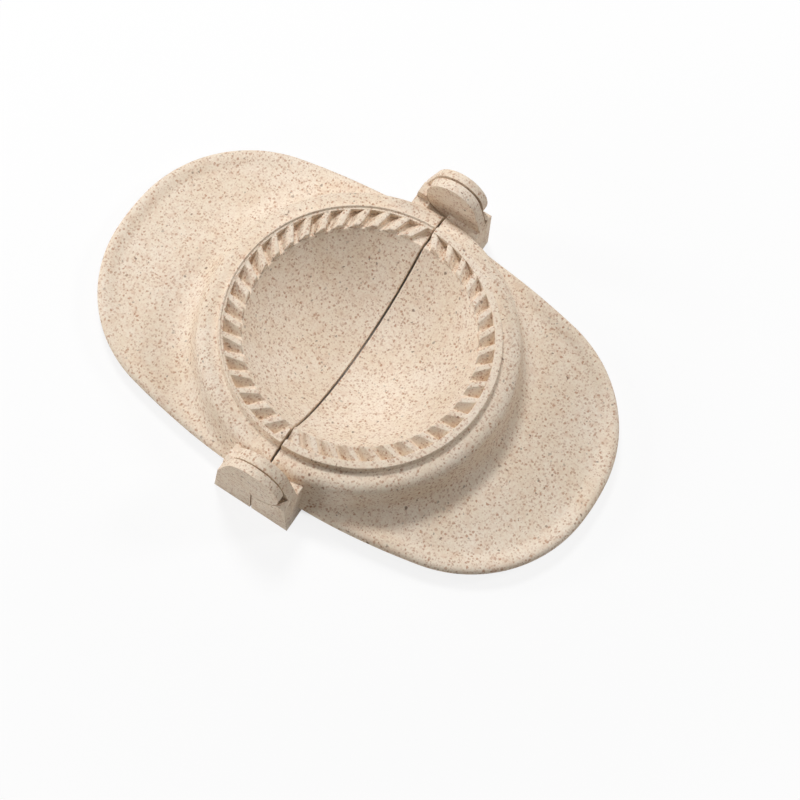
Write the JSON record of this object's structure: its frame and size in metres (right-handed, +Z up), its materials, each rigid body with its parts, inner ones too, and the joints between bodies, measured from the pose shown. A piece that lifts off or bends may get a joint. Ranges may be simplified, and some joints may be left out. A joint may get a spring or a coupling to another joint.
{
  "type": "empanada press",
  "caption": "Round folding press for filled pastry: two moulded half shells with hollow half bowls, slanted crimping teeth and wing-shaped handles, joined along one hinge line",
  "frame": {"origin": "centre of the opened press on the surface that it stands on", "axes": "+X along the length over both wings, towards the half with the flat backing rim; +Y along the hinge line; +Z up"},
  "size_m": [0.16, 0.1084, 0.0291],
  "materials": {
    "wheat_straw_plastic": "matte, with fine brown straw flecks"
  },
  "bodies": {
    "backing": {"backing_half": "wheat_straw_plastic"},
    "cutting": {"cutting_half": "wheat_straw_plastic"}
  },
  "joints": [
    {"name": "fold", "type": "hinge", "parent": "backing", "child": "cutting", "pos_m": [0, 0, 0.02055], "axis": [0, 1, 0], "range_deg": [0, 180]}
  ]
}
